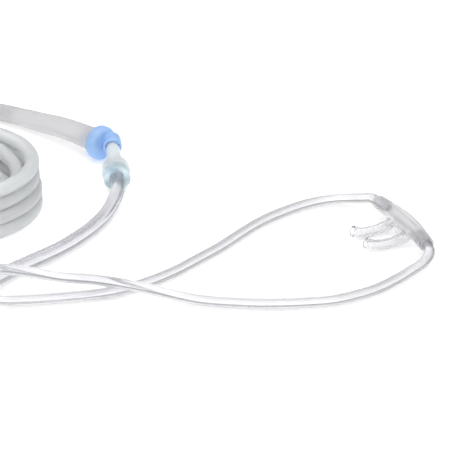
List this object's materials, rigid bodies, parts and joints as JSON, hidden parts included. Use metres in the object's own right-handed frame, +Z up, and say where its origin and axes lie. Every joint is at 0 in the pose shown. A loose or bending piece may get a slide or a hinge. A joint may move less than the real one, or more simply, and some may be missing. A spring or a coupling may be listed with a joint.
{
  "type": "nasal oxygen cannula",
  "caption": "Clear soft tube loop with a pronged nosepiece, a slide, a junction and a short tail, joined by a blue swivel and a flared sleeve to a coiled extension tube.",
  "frame": {"origin": "on the table, under the middle of the nosepiece's footprint", "axes": "+Z up, +X from the coil towards the nosepiece, +Y away from a person in front, along the nosepiece's longer side; a view along +Y shows the loop's front"},
  "size_m": [0.2877, 0.1986, 0.0224],
  "materials": {
    "clear_vinyl": "clear soft vinyl, glossy",
    "frosted_vinyl": "soft vinyl, slightly frosted",
    "grey_vinyl": "grey, cloudy soft vinyl",
    "blue_plastic": "blue, slightly translucent",
    "teal_plastic": "clear with a teal tint"
  },
  "bodies": {
    "root": {"nosepiece": "frosted_vinyl", "lariat_near": "clear_vinyl", "lariat_far": "clear_vinyl", "y_junction": "clear_vinyl", "tail_tube": "clear_vinyl", "swivel_elbow": "blue_plastic", "bell_connector": "grey_vinyl", "extension_lead": "clear_vinyl", "extension_coil": "clear_vinyl", "extension_tail": "clear_vinyl", "end_connector": "clear_vinyl"},
    "slider": {"slide": "clear_vinyl"},
    "turning_nozzle": {"nozzle": "clear_vinyl", "tail_connector": "teal_plastic"}
  },
  "joints": [
    {"name": "slide_travel", "type": "slide", "parent": "root", "child": "slider", "axis": [-1, 0, 0], "range_m": [0, 0.022]},
    {"name": "nozzle_turn", "type": "hinge", "parent": "root", "child": "turning_nozzle", "pos_m": [-0.10797, 0.06479, 0.0071], "axis": [0.1078, -0.9926, -0.0558], "continuous": true}
  ]
}
